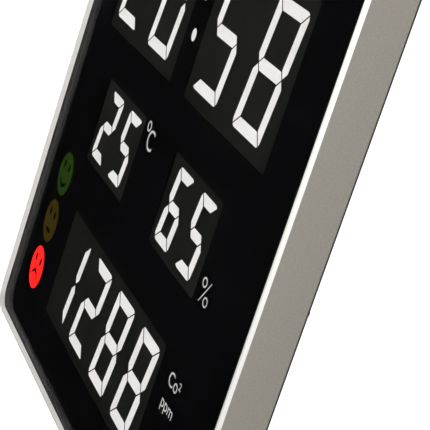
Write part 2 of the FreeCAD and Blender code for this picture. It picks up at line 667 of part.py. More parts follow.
def make_colon():
    """Two round light guides between hours and minutes, in a block of their own."""
    places = [f"time_window_up + {step} * colon_rise" for step in (-1, 1)]
    cells = [rod(f"ColonCell{number}", "colon_radius + guide_gap", "module_depth", "layout_shift",
                 BOARD_FRONT, up) for number, up in enumerate(places)]
    housing = block("ColonBlock", "2 * (colon_radius + colon_wall)", "module_depth",
                    "2 * (colon_rise + colon_radius + colon_wall)", "layout_shift", BOARD_FRONT,
                    "time_window_up")
    keep(cut("ColonHousing", housing, cells), "colon_housing")
    dots = [rod(f"ColonDot{number}", "colon_radius", "segment_depth", "layout_shift",
                f"{MODULE_FACE} - segment_depth", up) for number, up in enumerate(places)]
    keep(group("ColonDots", dots), "colon_dots")


def make_face_lights():
    """Three discs that glow green, yellow and red, over three cells with a chip light in each."""
    places = [f"face_up + {step} * {FACE_PITCH}" for step in (1, 0, -1)]
    colours = ("green", "yellow", "red")
    seats = [rod(f"FaceSeat{number}", "face_radius + guide_gap", "guide_thick", FACE_SIDE,
                 f"{MODULE_FACE} - guide_thick", up) for number, up in enumerate(places)]
    cells = [rod(f"FaceCell{number}", "face_radius - guide_seat", "module_depth", FACE_SIDE, BOARD_FRONT, up)
             for number, up in enumerate(places)]
    housing = block("FaceBlock", LIGHT_BOX_WIDTH, "module_depth", LIGHT_BOX_HEIGHT, FACE_SIDE, BOARD_FRONT,
                    "face_up")
    keep(cut("FaceLightBox", housing, seats + cells), "face_light_box")
    for colour, up in zip(colours, places):
        disc = rod(colour.title() + "Disc", "face_radius", "guide_thick", FACE_SIDE,
                   f"{MODULE_FACE} - guide_thick", up)
        keep(group(colour.title() + "Light", [disc]), colour + "_face_light")
    chips = [block(f"FaceChip{number}", "face_chip_size", "face_chip_thick", "face_chip_size", FACE_SIDE,
                   BOARD_FRONT, up)
             for number, up in enumerate(places)]
    keep(group("FaceChips", chips), "face_light_chips")


# ---------------------------------------------------------------- boards, standoffs and screws

def make_display_board():
    """Board behind the modules, with a notch that leaves room for the control board."""
    body = new_body("display_board")
    wide, high = f"({BOARD_RIGHT} - {BOARD_LEFT})", f"({BOARD_TOP} - {BOARD_BOTTOM})"
    outline = front_sketch(body, "DisplayOutline", BOARD_BACK)
    draw_plate(outline, wide, high, "board_corner", f"({BOARD_LEFT} + {BOARD_RIGHT}) / 2",
               f"({BOARD_BOTTOM} + {BOARD_TOP}) / 2")
    pad(body, outline, "board_thick")
    notch = front_sketch(body, "DisplayNotch", BOARD_FRONT)
    notch_wide = f"({BOARD_RIGHT} - {NOTCH_LEFT} + 2 * board_margin)"
    notch_high = f"({NOTCH_TOP} - {BOARD_BOTTOM} + 2 * board_margin)"
    draw_plate(notch, notch_wide, notch_high, "board_corner", f"{NOTCH_LEFT} + {notch_wide} / 2",
               f"{NOTCH_TOP} - {notch_high} / 2")
    pocket(body, notch, "board_thick")
    holes = front_sketch(body, "DisplayHoles", BOARD_FRONT)
    for side, up in DISPLAY_SCREWS:
        draw_circle(holes, "screw_radius + pass_gap", side, up)
    pocket(body, holes, "board_thick")
    return body


def make_rear_board(label, wide, high, side, up, screws):
    """The control board or the sensor board."""
    body = new_body(label)
    name = label.title().replace("_", "")
    outline = front_sketch(body, name + "Outline", "rear_board_forward")
    draw_plate(outline, wide, high, "board_corner", side, up)
    pad(body, outline, "board_thick")
    holes = front_sketch(body, name + "Holes", REAR_BOARD_FRONT)
    for hole_side, hole_up in screws:
        draw_circle(holes, "screw_radius + pass_gap", hole_side, hole_up)
    pocket(body, holes, "board_thick")
    return body


def make_standoffs(label, forward, screws):
    """Threaded posts on the cover that carry a board."""
    length = f"({forward} - cover_thick)"
    posts = []
    for number, (side, up) in enumerate(screws):
        post = rod(f"{label}Post{number}", "standoff_radius", length, side, "cover_thick", up)
        thread = rod(f"{label}Thread{number}", "screw_radius + thread_gap", length, side, "cover_thick", up)
        posts.append(cut(f"{label}Standoff{number}", post, [thread]))
    keep(group(label, posts), label)


def make_board_screws(label, forward, length, screws):
    """Pan-head screws driven from the front, through a board into its standoffs."""
    parts = []
    for number, (side, up) in enumerate(screws):
        head = rod(f"{label}Head{number}", "screw_head_radius", "screw_head_thick", side, forward, up)
        shank = rod(f"{label}Shank{number}", "screw_radius", length, side, f"{forward} - {length}", up)
        parts.append(join(f"{label}Screw{number}", [head, shank]))
    keep(group(label, parts), label)


def make_cover_screws():
    """Pan-head screws driven from the back, through the cover into the frame's bosses."""
    parts = []
    for number, (side, up) in enumerate(COVER_SCREWS):
        head = rod(f"CoverHead{number}", "screw_head_radius", "screw_head_thick", side,
                   "-screw_head_thick", up)
        drive = block(f"CoverDrive{number}", "drive_length", "drive_depth", "drive_width", side,
                      "-screw_head_thick", up)
        cross = block(f"CoverCross{number}", "drive_width", "drive_depth", "drive_length", side,
                      "-screw_head_thick", up)
        shank = rod(f"CoverShank{number}", "screw_radius", "cover_screw_length", side, "0", up)
        parts.append(cut(f"CoverScrew{number}", join(f"CoverPin{number}", [head, shank]), [drive, cross]))
    keep(group("CoverScrews", parts), "cover_screws")


# ---------------------------------------------------------------- control board's parts

def make_power_inlet():
    """Barrel inlet on the control board, with its mouth in the frame's bottom wall."""
    floor, mouth = f"({FLOOR_INSIDE} + edge_gap)", "(-height / 2 + inlet_recess)"
    collar_long = f"({floor} + inlet_floor - {mouth})"
    bore_long = f"({floor} + inlet_long - inlet_floor - {mouth})"
    base = block("InletBlock", "inlet_width", "inlet_high", "inlet_long", INLET_SIDE, REAR_BOARD_FRONT,
                 f"{floor} + inlet_long / 2")
    collar = rod("InletCollar", "inlet_collar", collar_long, INLET_SIDE, INLET_FORWARD, mouth, True)
    bore = rod("InletBore", "inlet_bore", bore_long, INLET_SIDE, INLET_FORWARD, mouth, True)
    pin = rod("InletPin", "inlet_pin", bore_long, INLET_SIDE, INLET_FORWARD, f"{mouth} + inlet_pin_dip", True)
    shell = cut("InletShell", join("InletBody", [base, collar]), [bore])
    keep(join("PowerInlet", [shell, pin]), "power_inlet")


def make_power_switch():
    """Slide switch on the control board; its knob comes through a slot in the frame's bottom wall."""
    floor = f"({FLOOR_INSIDE} + edge_gap)"
    knob_top = f"({floor} + slider_reach)"
    base = block("SliderBlock", f"{SLOT_WIDTH} + 2 * slider_case_wall", "slider_case_tall",
                 "slider_case_high", SLIDER_MIDDLE, REAR_BOARD_FRONT, f"{floor} + slider_case_high / 2")
    room_high = "2 * (slider_reach + slider_gap)"
    room = block("SliderRoom", SLOT_WIDTH, SLOT_DEPTH, room_high, SLIDER_MIDDLE,
                 f"{SLIDER_FORWARD} - {SLOT_DEPTH} / 2", floor)
    keep(cut("SliderCase", base, [room]), "power_switch")
    knob_high = f"({knob_top} + height / 2 + slider_proud)"
    knob = block("SliderKnob", "slider_width", "slider_thick", knob_high, SLIDER_SIDE,
                 f"{SLIDER_FORWARD} - slider_thick / 2", f"{knob_top} - {knob_high} / 2")
    doc.recompute()
    low = [number for number, edge in enumerate(knob.Shape.Edges, start=1)
           if edge.BoundBox.ZMax < knob.Shape.BoundBox.ZMin + TINY]
    rounding = doc.addObject("Part::Fillet", "SliderKnobRound")
    rounding.Base = knob
    rounding.Edges = [(number, amount("slider_round"), amount("slider_round")) for number in low]
    keep(rounding, "power_switch_knob")


def make_keys():
    """Four set keys: a cap through the cover, a flange behind it, and a stem into the switch."""
    labels = ("set_key", "up_key", "down_key", "alarm_key")
    flange_back = "(cover_thick + key_seat)"
    switch_back = "(rear_board_forward - switch_thick)"
    for label, side in zip(labels, KEY_SIDES):
        name = label.title().replace("_", "")
        cap = rod(name + "Cap", "key_radius", f"key_proud + {flange_back}", side, "-key_proud", KEY_UP)
        flange = rod(name + "Flange", "key_radius + key_flange", "key_flange", side, flange_back, KEY_UP)
        stem = rod(name + "Stem", "stem_radius", f"{switch_back} + stem_dip - {flange_back}", side,
                   flange_back, KEY_UP)
        keep(join(name, [cap, flange, stem]), label)
    switches = []
    for number, side in enumerate(KEY_SIDES):
        case = block(f"SwitchCase{number}", "switch_size", "switch_thick", "switch_size", side,
                     switch_back, KEY_UP)
        well = rod(f"SwitchWell{number}", "stem_radius + key_gap", "stem_dip + key_travel + key_gap", side,
                   switch_back, KEY_UP)
        switches.append(cut(f"KeySwitch{number}", case, [well]))
    keep(group("KeySwitches", switches), "key_switches")


def make_clock_battery():
    """Coin cell in a holder on the control board, under a door that turns to unlock."""
    cell_back = "(rear_board_forward - holder_base - cell_thick)"
    ring = rod("HolderRing", "cell_radius + cell_gap + holder_wall", "holder_base + cell_thick - cell_proud",
               DOOR_SIDE, f"{cell_back} + cell_proud", DOOR_UP)
    room = rod("HolderRoom", "cell_radius + cell_gap", "cell_thick", DOOR_SIDE, cell_back, DOOR_UP)
    keep(cut("CellHolder", ring, [room]), "cell_holder")
    cell = rod("CellCan", "cell_radius", "cell_thick", DOOR_SIDE, cell_back, DOOR_UP)
    keep(group("CoinCell", [cell]), "coin_cell")

    lug_back = "(cover_thick + door_seat)"
    disc = rod("DoorDisc", "door_radius", lug_back, DOOR_SIDE, "0", DOOR_UP)
    rim = rod("DoorLugRim", "door_radius + door_lug", "door_lug_thick", DOOR_SIDE, lug_back, DOOR_UP)
    bar = block("DoorLugBar", "2 * (door_radius + 2 * door_lug)", "door_lug_thick", "door_lug_width",
                DOOR_SIDE, lug_back, DOOR_UP)
    lugs = doc.addObject("Part::Common", "DoorLugs")
    lugs.Base = rim
    lugs.Tool = bar
    coin_slot = block("DoorSlot", "door_slot_length", "door_slot_depth", "door_slot_width", DOOR_SIDE, "0",
                      DOOR_UP)
    keep(cut("BatteryDoor", join("DoorBlank", [disc, lugs]), [coin_slot]), "battery_door")


def in_front_of_control(across, along):
    """Side, forward and up of a place on the control board's front, at these shares of its sizes."""
    return (f"{CONTROL_LEFT} + control_width * {across}", REAR_BOARD_FRONT,
            f"{CONTROL_BOTTOM} + control_height * {along}")


def make_control_parts():
    """What stands on the control board's front, and the driver chips behind the display board."""
    processor = block("Processor", "processor_size", "processor_thick", "processor_size",
                      *in_front_of_control(0.52, 0.59))
    keep(group("Microcontroller", [processor]), "microcontroller")
    chips = [block(f"SmallChip{number}", "chip_width", "chip_thick", "chip_high",
                   *in_front_of_control(0.52, along)) for number, along in enumerate((0.30, 0.40))]
    choke = block("Choke", "choke_size", "choke_thick", "choke_size", *in_front_of_control(0.70, 0.30))
    keep(group("ControlChips", chips + [choke]), "control_chips")
    cans = [rod(f"Capacitor{number}", "capacitor_radius", "capacitor_tall", *in_front_of_control(0.89, along))
            for number, along in enumerate((0.20, 0.31))]
    keep(group("Capacitors", cans), "capacitors")
    can = rod("BuzzerCan", "buzzer_radius", "buzzer_tall", *in_front_of_control(0.21, 0.74))
    keep(group("Buzzer", [can]), "buzzer")
    places = [(step, up) for up in (MID_BAND, LOW_BAND) for step in (-1, 1)]
    drivers = [block(f"DriverChip{number}", "driver_width", "chip_thick", "chip_high",
                     f"layout_shift + {step} * gas_digit_pitch", f"{BOARD_BACK} - chip_thick", up)
               for number, (step, up) in enumerate(places)]
    keep(group("DriverChips", drivers), "driver_chips")


def flat_cable(points, bend, thick, wide, place):
    """A flat cable along level and square runs with round bends.

    points are (along, forward) pairs; place turns one such pair into a point of the cable's edge, and
    the cable is wide to one side of that edge.
    """
    edges, last = [], Vector(*place(*points[0]))
    for before, corner, after in zip(points, points[1:], points[2:]):
        here = Vector(*place(*corner))
        lead = (Vector(*place(*before)) - here).normalize()
        leave = (Vector(*place(*after)) - here).normalize()
        centre = here + (lead + leave) * bend
        middle = centre - (lead + leave).normalize() * bend
        edges.append(Part.LineSegment(last, here + lead * bend).toShape())
        edges.append(Part.Arc(here + lead * bend, middle, here + leave * bend).toShape())
        last = here + leave * bend
    edges.append(Part.LineSegment(last, Vector(*place(*points[-1]))).toShape())
    strip = Part.Wire(edges).makeOffset2D(thick, join=0, fill=True, openResult=True)
    return strip.extrude(wide)


def make_cables():
    """Flat cables from display board and sensor board to the control board, and their sockets."""
    thick, tall = amount("cable_thick"), amount("socket_tall")
    left, right = f"({NOTCH_LEFT} - socket_inset)", f"({CONTROL_LEFT} + socket_inset)"
    ends = (("Display", left, BOARD_BACK), ("Control", right, "rear_board_forward"))
    sockets = [block(f"{end}Socket", "socket_width", "socket_tall", "display_cable_width + 2 * socket_extra",
                     side, f"{back} - socket_tall", CABLE_UP) for end, side, back in ends]
    start, finish = amount(BOARD_BACK) - tall, amount("rear_board_forward") - tall
    level = (amount("cover_thick") + finish) / 2
    wide, low = amount("display_cable_width"), amount(f"{CABLE_UP} - display_cable_width / 2")
    route = [(amount(left), start), (amount(left), level), (amount(right), level), (amount(right), finish)]
    cable = doc.addObject("Part::Feature", "DisplayCable")
    cable.Shape = flat_cable(route, thick, thick, Vector(0, 0, wide),
                             lambda along, forward: (along, -forward, low))
    keep(cable, "display_cable")

    middle = f"({SENSOR_SIDE} - sensor_width / 2 + socket_inset)"
    top, bottom = "(sensor_up - sensor_height / 2 + socket_inset)", f"({CONTROL_TOP} - socket_inset)"
    sockets += [block(f"{end}SensorSocket", "sensor_cable_width + 2 * socket_extra", "socket_tall",
                      "socket_width", middle, REAR_BOARD_FRONT, up)
                for end, up in (("Upper", top), ("Lower", bottom))]
    start = amount(f"{REAR_BOARD_FRONT} + socket_tall")
    level = start + tall + 2 * thick
    wide, edge = amount("sensor_cable_width"), amount(f"{middle} - sensor_cable_width / 2")
    route = [(amount(top), start), (amount(top), level), (amount(bottom), level), (amount(bottom), start)]
    lead = doc.addObject("Part::Feature", "SensorCable")
    lead.Shape = flat_cable(route, 2 * thick, thick, Vector(wide, 0, 0),
                            lambda along, forward: (edge, -forward, along))
    keep(lead, "sensor_cable")
    keep(group("Sockets", sockets), "cable_sockets")


# ---------------------------------------------------------------- sensor board's parts

def make_sensors():
    """Infrared gas sensor on the sensor board's front, small air sensor and dust filter on its back."""
    gas_up = "(sensor_up + sensor_height / 8)"
    base = block("GasSensorBase", "gas_case_width", "gas_case_thick", "gas_case_high", SENSOR_SIDE,
                 REAR_BOARD_FRONT, gas_up)
    port = rod("GasSensorPort", "gas_port_radius", "gas_port_tall", SENSOR_SIDE,
               f"{REAR_BOARD_FRONT} + gas_case_thick", gas_up)
    keep(join("GasSensor", [base, port]), "gas_sensor")

    back, air_up = "(rear_board_forward - air_case_thick)", "(sensor_up - sensor_height / 5)"
    case = block("AirSensorCase", "air_case_width", "air_case_thick", "air_case_high", SENSOR_SIDE, back,
                 air_up)
    slots = [block(f"AirSensorSlot{number}", "air_slot_width", "air_slot_deep", "air_slot_high", SENSOR_SIDE,
                   back, f"{air_up} + {step} * air_case_high / 5") for number, step in enumerate((-1, 0, 1))]
    keep(cut("AirSensor", case, slots), "air_sensor")

    dust = block("DustFilterSheet", "vent_width + 2 * dust_margin", "dust_thick",
                 f"{VENT_COUNT} * vent_pitch + 2 * dust_margin", SENSOR_SIDE, "cover_thick", "sensor_up")
    keep(group("DustFilter", [dust]), "dust_filter")


# ---------------------------------------------------------------- rear cover

def make_cover():
    """Steel sheet with keyholes, vents, key holes, the battery door's hole and screw holes."""
    inset = "2 * cover_inset"
    body = make_plain_plate("rear_cover", "0", "cover_thick", f"(width - {inset})", f"(height - {inset})",
                            "(corner_radius - cover_inset)")
    screws = front_sketch(body, "CoverScrewHoles", "cover_thick")
    for side, up in COVER_SCREWS:
        draw_circle(screws, "screw_radius + pass_gap", side, up)
    pocket(body, screws, "cover_thick")
    entries = front_sketch(body, "KeyholeEntries", "cover_thick")
    for step in (-1, 1):
        draw_circle(entries, "keyhole_radius", f"{step} * keyhole_side", "hang_drop")
    pocket(body, entries, "cover_thick")
    slots = front_sketch(body, "KeyholeSlots", "cover_thick")
    for step in (-1, 1):
        slot_high = "(keyhole_rise + 2 * keyhole_slot)"
        draw_plate(slots, "2 * keyhole_slot", slot_high, f"keyhole_slot - {END_FLAT} / 2",
                   f"{step} * keyhole_side", f"(hang_drop + {slot_high} / 2 - keyhole_slot)")
    pocket(body, slots, "cover_thick")
    vent = front_sketch(body, "LowestVent", "cover_thick")
    draw_plate(vent, "vent_width", "vent_high", f"(vent_high - {END_FLAT}) / 2", SENSOR_SIDE,
               f"(sensor_up - ({VENT_COUNT} - 1) / 2 * vent_pitch)")
    lowest = pocket(body, vent, "cover_thick")
    row_of_vents = body.newObject("PartDesign::LinearPattern", "VentRow")
    row_of_vents.Originals = [lowest]
    row_of_vents.Direction = (vent, ["V_Axis"])
    bind(row_of_vents, "Length", f"({VENT_COUNT} - 1) * vent_pitch")
    row_of_vents.Occurrences = VENT_COUNT
    body.Tip = row_of_vents
    doc.recompute()
    controls = front_sketch(body, "KeyHoles", "cover_thick")
    for side in KEY_SIDES:
        draw_circle(controls, "key_radius + key_gap", side, KEY_UP)
    draw_circle(controls, "door_radius + door_gap", DOOR_SIDE, DOOR_UP)
    pocket(body, controls, "cover_thick")
    return body


def make_bumpers():
    places = [(x, z) for x in (-1, 1) for z in (-1, 1)]
    discs = [rod(f"Bumper{number}", "bumper_radius", "bumper_thick", f"{x} * (width / 2 - bumper_inset)",
                 "-bumper_thick", f"{z} * (height / 2 - bumper_inset)")
             for number, (x, z) in enumerate(places)]
    keep(group("Bumpers", discs), "wall_bumpers")


# ---------------------------------------------------------------- the whole, its check and its files

def make_all():
    make_frame()
    make_plain_plate("front_glass", FILM_FRONT, "glass_thick", f"({INNER_WIDTH} - 2 * glass_gap)",
                     f"({INNER_HEIGHT} - 2 * glass_gap)", f"({INNER_RADIUS} - glass_gap)")
    make_film()
    make_tape()
    make_modules()
    make_colon()
    make_face_lights()
    make_display_board()
    make_rear_board("control_board", "control_width", "control_height",
                    f"({CONTROL_LEFT} + control_width / 2)", f"({CONTROL_BOTTOM} + control_height / 2)",
                    CONTROL_SCREWS)
    make_rear_board("sensor_board", "sensor_width", "sensor_height", SENSOR_SIDE, "sensor_up", SENSOR_SCREWS)
    make_standoffs("display_standoffs", BOARD_BACK, DISPLAY_SCREWS)
    make_standoffs("rear_standoffs", "rear_board_forward", CONTROL_SCREWS + SENSOR_SCREWS)
    make_board_screws("display_screws", BOARD_FRONT, "board_screw_length", DISPLAY_SCREWS)
    make_board_screws("rear_board_screws", REAR_BOARD_FRONT, "board_screw_length",
                      CONTROL_SCREWS + SENSOR_SCREWS)
    make_power_inlet()
    make_power_switch()
    make_keys()
    make_clock_battery()
    make_control_parts()
    make_cables()
    make_sensors()
    make_cover()
    make_cover_screws()
    make_bumpers()


make_all()
doc.recompute()
for thing in doc.Objects:
    if {"Invalid", "Error"} & set(thing.State):
        raise RuntimeError(f"{thing.Name} did not build: {thing.State}")
for piece in pieces:
    if piece.Shape.isNull() or not piece.Shape.isValid() or not piece.Shape.Solids:
        raise RuntimeError(f"{piece.Label} has no sound solid")

os.makedirs("parts", exist_ok=True)
for piece in pieces:
    piece.Shape.exportStep(f"parts/{piece.Label}.step")
    print(piece.Label, len(piece.Shape.Solids), round(piece.Shape.Volume, 1))
print(len(pieces), "nodes")
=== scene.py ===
import json
import math

import bmesh
import bpy
from bpy.props import FloatProperty, FloatVectorProperty, PointerProperty, StringProperty
from bpy.types import Operator, Panel, PropertyGroup
from mathutils import Matrix, Vector


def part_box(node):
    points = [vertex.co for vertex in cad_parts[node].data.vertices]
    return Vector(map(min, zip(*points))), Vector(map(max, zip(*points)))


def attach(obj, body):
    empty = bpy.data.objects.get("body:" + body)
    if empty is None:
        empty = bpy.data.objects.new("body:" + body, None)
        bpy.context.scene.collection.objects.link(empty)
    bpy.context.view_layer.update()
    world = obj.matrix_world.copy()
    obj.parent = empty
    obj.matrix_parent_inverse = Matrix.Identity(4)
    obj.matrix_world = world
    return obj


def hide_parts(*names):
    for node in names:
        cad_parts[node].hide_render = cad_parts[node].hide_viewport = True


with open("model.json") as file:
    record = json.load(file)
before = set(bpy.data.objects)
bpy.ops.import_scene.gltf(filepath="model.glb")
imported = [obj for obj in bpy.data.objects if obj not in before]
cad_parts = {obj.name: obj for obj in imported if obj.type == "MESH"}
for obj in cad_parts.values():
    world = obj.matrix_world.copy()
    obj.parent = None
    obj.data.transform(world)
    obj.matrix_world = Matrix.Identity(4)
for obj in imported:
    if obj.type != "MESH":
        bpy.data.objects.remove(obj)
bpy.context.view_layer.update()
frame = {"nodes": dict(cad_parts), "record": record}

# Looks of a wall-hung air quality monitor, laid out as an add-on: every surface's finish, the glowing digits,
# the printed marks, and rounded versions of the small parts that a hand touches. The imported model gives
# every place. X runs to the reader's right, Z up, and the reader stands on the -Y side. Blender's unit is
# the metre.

bl_info = {
    "name": "Air Quality Monitor",
    "version": (1, 0, 0),
    "blender": (4, 5, 0),
    "location": "3D View > Sidebar > Monitor",
    "description": "Finishes, lit digits, printed marks and stage of a wall-hung air quality monitor",
    "category": "Object",
}

MM = 0.001
HOUSING = "housing"
# Name of the face mark for the frame's lighter lip tone, which is partly painted light.
PAINTED_LIP_TONE = "painted_lip_tone"
SHARP = math.radians(35)
FLAT = math.radians(0.5)
NEAR = 0.1 * MM
UPRIGHT = Matrix.Rotation(math.radians(90), 4, "X")
SLOT_OF = {part["node"]: part["material_slot"] for part in frame["record"]["subparts"]}

# Segments that glow for each figure: a is the top one, then clockwise b to f, and g is the middle one.
LIT = {"0": "abcdef", "1": "bc", "2": "abdeg", "3": "abcdg", "4": "bcfg",
       "5": "acdfg", "6": "acdefg", "7": "abc", "8": "abcdefg", "9": "abcdfg"}


def linear(code):
    """An sRGB hex colour as the linear red, green, blue and alpha that a shader takes."""
    channels = [int(code[place:place + 2], 16) / 255 for place in (1, 3, 5)]
    return [value / 12.92 if value <= 0.04045 else ((value + 0.055) / 1.055) ** 2.4
            for value in channels] + [1.0]


# ---------------------------------------------------------------- what a user would change

class MonitorLooks(PropertyGroup):
    """Readings, colours and small sizes of the monitor."""

    hours: StringProperty(name="Hours", description="Figures in the hours window", default="20")
    minutes: StringProperty(name="Minutes", description="Figures in the minutes window", default="58")
    temperature: StringProperty(name="Temperature", description="Figures in the temperature window",
                                default="25")
    humidity: StringProperty(name="Humidity", description="Figures in the humidity window", default="65")
    gas: StringProperty(name="Carbon dioxide", description="Figures in the carbon dioxide window",
                        default="1288")
    glow: FloatProperty(name="Glow", description="Strength of the lit segments", default=0.65, min=0.0)
    red_glow: FloatProperty(name="Red glow", description="Strength of the lit face", default=1.3, min=0.0)
    metal: FloatVectorProperty(name="Aluminium", description="Tone of the frame", subtype="COLOR", size=4,
                               default=linear("#B6B1A7"), min=0.0, max=1.0)
    # The lip's tone is lighter than the frame's partly as painted light: it stands in for the front light
    # falling on the lip.
    painted_lip_metal: FloatVectorProperty(name="Lip with painted light", description="Tone of the frame's lip",
                                   subtype="COLOR", size=4, default=linear("#F3F1EC"), min=0.0, max=1.0)
    window: FloatVectorProperty(name="Windows", description="Tone of the modules behind the windows",
                                subtype="COLOR", size=4, default=linear("#11110E"), min=0.0, max=1.0)
    segment: FloatVectorProperty(name="Lit segments", description="Colour of the lit segments",
                                 subtype="COLOR", size=4, default=linear("#F4EEED"), min=0.0, max=1.0)
    print_gap: FloatProperty(name="Print gap", description="Clear space between glass and printed film",
                             default=0.06 * MM, unit="LENGTH")
    print_thick: FloatProperty(name="Print thickness", description="Thickness of the printed marks",
                               default=0.02 * MM, unit="LENGTH")
    glass_edge: FloatProperty(name="Glass edge", description="Rounding of the glass's polished edge",
                              default=0.2 * MM, unit="LENGTH")
    segment_edge: FloatProperty(name="Segment edge", description="Rounding of the segments' edges",
                                default=0.12 * MM, unit="LENGTH")
    seal_gap: FloatProperty(name="Seal gap", description="Clear space between the glass's edge and its seal",
                            default=0.03 * MM, unit="LENGTH")
    seal_thick: FloatProperty(name="Seal thickness", description="Thickness of the seal round the glass",
                              default=0.09 * MM, unit="LENGTH")
    edge: FloatProperty(name="Edge radius", description="Rounding of moulded edges", default=0.25 * MM,
                        unit="LENGTH")


class MonitorStage(PropertyGroup):
    """Camera, floor and lights."""

    lens: FloatProperty(name="Lens", description="Focal length on a 36 mm sensor", default=137.63,
                        unit="CAMERA")
    eye: FloatVectorProperty(name="Eye", description="Where the camera stands", subtype="TRANSLATION",
                             unit="LENGTH", default=(0.8545, -0.3529, 0.1266))
    floor_drop: FloatProperty(name="Floor", description="Floor below the middle of the keyholes",
                              default=1.4, unit="LENGTH")
    sky: FloatProperty(name="Sky", description="Strength of the soft light from above", default=1.0, min=0.0)


def looks():
    """The settings of the monitor's looks."""
    return bpy.context.scene.monitor_looks


# ---------------------------------------------------------------- small helpers

def add(tree, kind, links=None, **settings):
    """Add a node with its settings; links gives its sockets a plain value or another node's output."""
    node = tree.nodes.new(kind)
    for name, value in settings.items():
        setattr(node, name, value)
    for name, value in (links or {}).items():
        if isinstance(value, bpy.types.NodeSocket):
            tree.links.new(value, node.inputs[name])
        else:
            node.inputs[name].default_value = value
    return node


def new_surface(name, **plain):
    """A material with one Principled shader, whose plain sockets are set by their names."""
    material = bpy.data.materials.new(name)
    material.use_nodes = True
    shader = material.node_tree.nodes["Principled BSDF"]
    for socket, value in plain.items():
        shader.inputs[socket.replace("_", " ")].default_value = value
    return material, material.node_tree, shader


def grained(name, colour, roughness, grain, depth, spread=0.12, play=0.06, **plain):
    """A surface whose tone, gloss and relief follow one fine grain.

    grain and depth are the grain's width and height in millimetres, spread is how far its tone varies and
    play how far its roughness does.
    """
    material, tree, shader = new_surface(name, **plain)
    where = add(tree, "ShaderNodeTexCoord").outputs["Object"]
    fine = add(tree, "ShaderNodeTexNoise", {"Vector": where, "Scale": 1 / (grain * MM), "Detail": 3.0,
                                            "Roughness": 0.6}).outputs["Fac"]
    dark = [channel * (1 - spread) for channel in colour[:3]] + [1.0]
    light = [min(1.0, channel * (1 + spread)) for channel in colour[:3]] + [1.0]
    tone = add(tree, "ShaderNodeMix", {0: fine, 6: dark, 7: light}, data_type="RGBA").outputs[2]
    gloss = add(tree, "ShaderNodeMapRange", {"Value": fine, "To Min": roughness - play,
                                             "To Max": roughness + play}).outputs["Result"]
    relief = add(tree, "ShaderNodeBump", {"Height": fine, "Distance": depth * MM}).outputs["Normal"]
    for socket, value in (("Base Color", tone), ("Roughness", gloss), ("Normal", relief)):
        tree.links.new(value, shader.inputs[socket])
    return material


# ---------------------------------------------------------------- finishes

def anodised_aluminium():
    """Extruded aluminium, bead-blasted and clear anodised to a satin grey; its lip's faces take a lighter,
    rougher tone, partly a brighter lip finish and partly painted light where the front light falls on them.
    """
    # The blasting pits are about 0.1 mm wide; they are drawn as 0.9 mm so that they show.
    material = grained("anodised_aluminium", looks().metal, 0.5, 0.9, 0.02, spread=0.22, Metallic=1.0)
    tree = material.node_tree
    shader = tree.nodes["Principled BSDF"]
    # Marked faces take the lighter lip tone and a rougher gloss: painted light from the front, with a
    # brighter lip finish.
    painted_lip_mask = add(tree, "ShaderNodeAttribute", attribute_name=PAINTED_LIP_TONE).outputs["Fac"]
    tone = add(tree, "ShaderNodeMix", {0: painted_lip_mask, 6: shader.inputs["Base Color"].links[0].from_socket,
                                       7: looks().painted_lip_metal}, data_type="RGBA")
    gloss = add(tree, "ShaderNodeMix", {0: painted_lip_mask, 2: shader.inputs["Roughness"].links[0].from_socket, 3: 0.6})
    tree.links.new(tone.outputs[2], shader.inputs["Base Color"])
    tree.links.new(gloss.outputs[0], shader.inputs["Roughness"])
    return material


def float_glass():
    """Polished float glass with an anti-reflection coating: clear, with one weak, sharp reflection."""
    # The index is lowered from glass's own 1.52, so that it reflects as little as the coating lets it.
    material, tree, shader = new_surface("float_glass", Base_Color=linear("#EFF1F1"), IOR=1.05,
                                         Transmission_Weight=1.0)
    where = add(tree, "ShaderNodeTexCoord").outputs["Object"]
    haze = add(tree, "ShaderNodeTexNoise", {"Vector": where, "Scale": 1 / (35 * MM)}).outputs["Fac"]
    gloss = add(tree, "ShaderNodeMapRange", {"Value": haze, "To Min": 0.0, "To Max": 0.012})
    tree.links.new(gloss.outputs["Result"], shader.inputs["Roughness"])
    return material


def black_print():
    """Opaque black screen print on polyester film: even and almost lightless."""
    return grained("black_print", linear("#0A090B"), 0.4, 0.3, 0.001, play=0.03, Specular_IOR_Level=0.0)


def white_print():
    """White screen print on polyester film."""
    return grained("white_print", linear("#CCC8C5"), 0.5, 0.3, 0.001, spread=0.03, play=0.03,
                   Specular_IOR_Level=0.1)


def closed_foam():
    """Closed-cell foam tape: dull and pitted."""
    return grained("closed_foam", linear("#141414"), 0.9, 0.5, 0.1, Specular_IOR_Level=0.1)


def lit_resin():
    """Milky casting resin over a lit chip: an even white glow."""
    return grained("lit_resin", linear("#9E9C9A"), 0.4, 0.6, 0.002, spread=0.02,
                   Emission_Color=looks().segment, Emission_Strength=looks().glow)


def unlit_resin():
    """Smoked casting resin over a dark chip: as dull as the moulding round it."""
    return grained("unlit_resin", looks().window, 0.6, 0.6, 0.003, Specular_IOR_Level=0.1)


def module_moulding():
    """Polycarbonate moulding, painted matt on its face."""
    return grained("module_moulding", looks().window, 0.6, 0.7, 0.01, spread=0.08, Specular_IOR_Level=0.1)


def black_abs():
    """Moulded ABS with a fine spark-eroded texture: a soft, broken sheen."""
    return grained("black_abs", linear("#19191A"), 0.48, 0.35, 0.015)


def tinted_disc(name, colour, **glow):
    """Light guide moulded in tinted acrylic: clean and slightly glossy."""
    return grained(name, colour, 0.3, 2.0, 0.002, spread=0.05, play=0.03, Specular_IOR_Level=0.2, **glow)


def green_acrylic():
    """The smiling face's light guide, unlit."""
    return tinted_disc("green_acrylic", linear("#243F06"))


def yellow_acrylic():
    """The level face's light guide, unlit."""
    return tinted_disc("yellow_acrylic", linear("#3D3002"))


